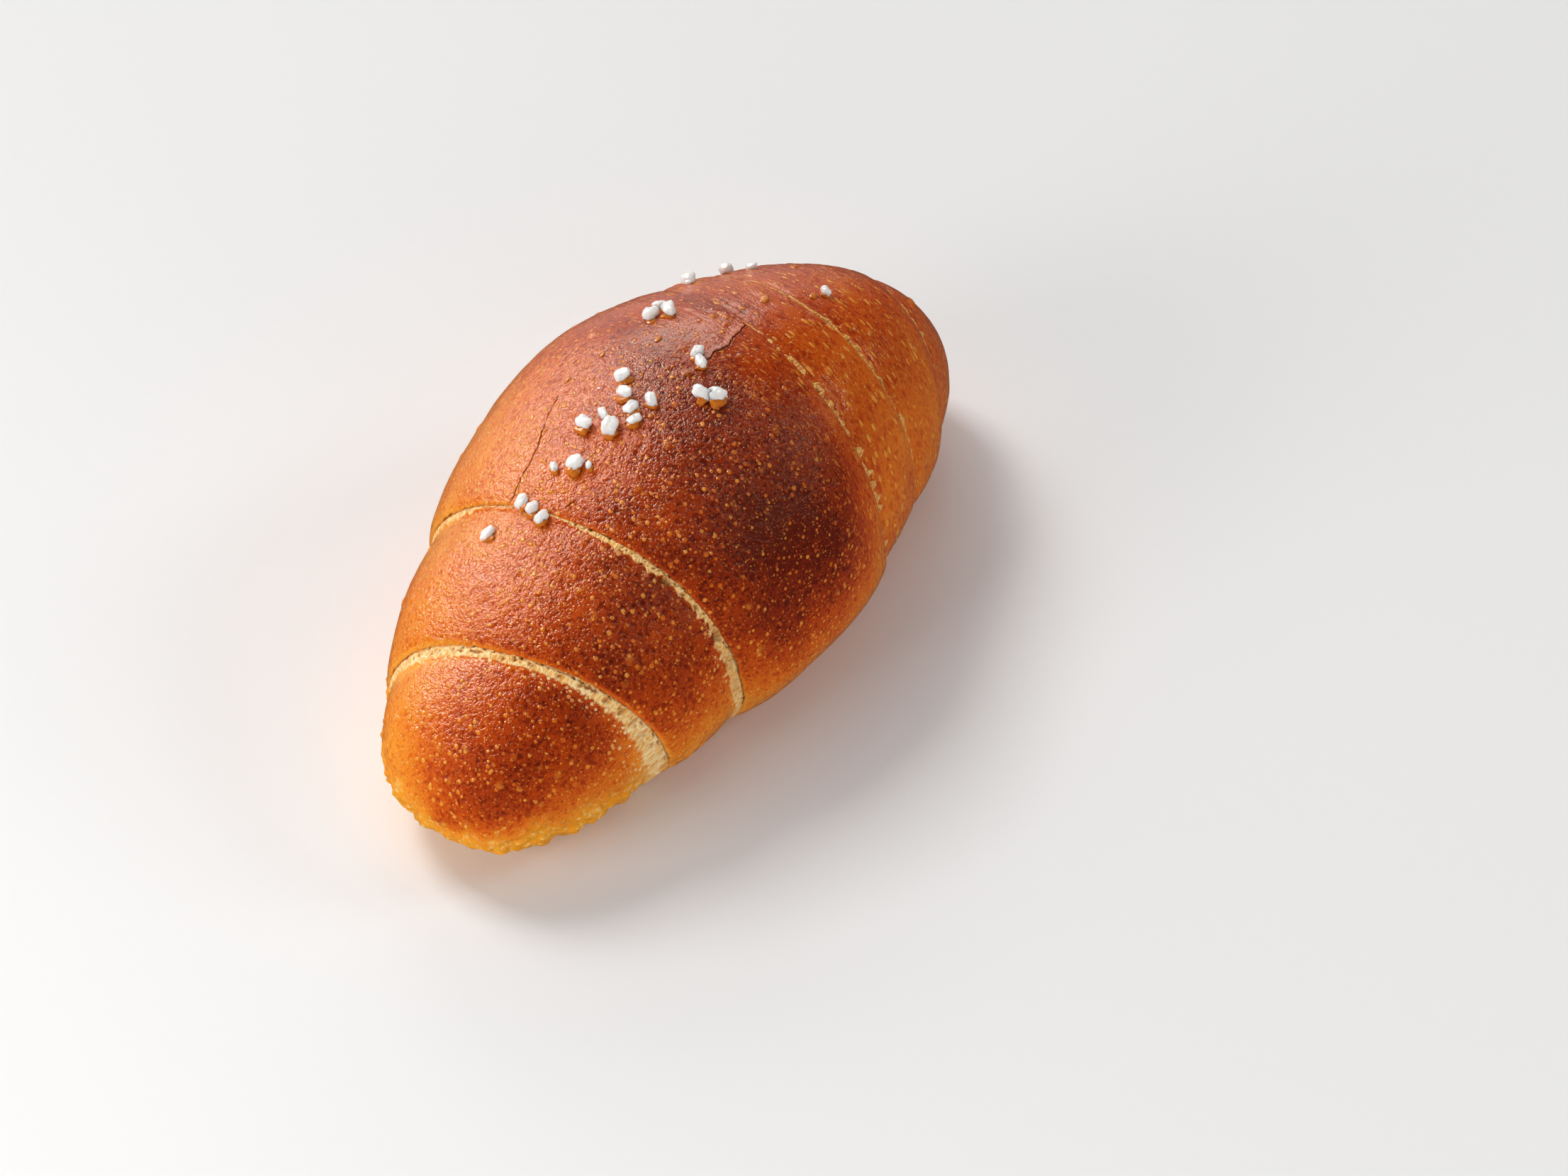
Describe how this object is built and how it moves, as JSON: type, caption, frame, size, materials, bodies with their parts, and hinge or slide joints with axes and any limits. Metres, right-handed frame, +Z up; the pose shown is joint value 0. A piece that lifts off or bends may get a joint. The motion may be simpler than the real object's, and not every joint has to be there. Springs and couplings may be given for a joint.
{
  "type": "salt bread roll",
  "caption": "Whole baked salt bread roll: a coiled butter roll with stepped wraps, tapered tips, a flat fried base and coarse salt along its crest.",
  "frame": {"origin": "centre of the roll's box, on the plane that it rests on", "axes": "+X along the roll from the near tip to the far tip, +Y to the outside of its bend, +Z up from the fried base"},
  "size_m": [0.142, 0.0748, 0.0567],
  "materials": {
    "crust": "egg-washed baked crust, glossy red-brown on top, golden at the base",
    "crumb": "pale torn dough in the grooves between the wraps, matt and porous",
    "salt": "white coarse salt, cloudy and slightly translucent"
  },
  "bodies": {
    "root": {"roll": "crust"}
  },
  "joints": []
}
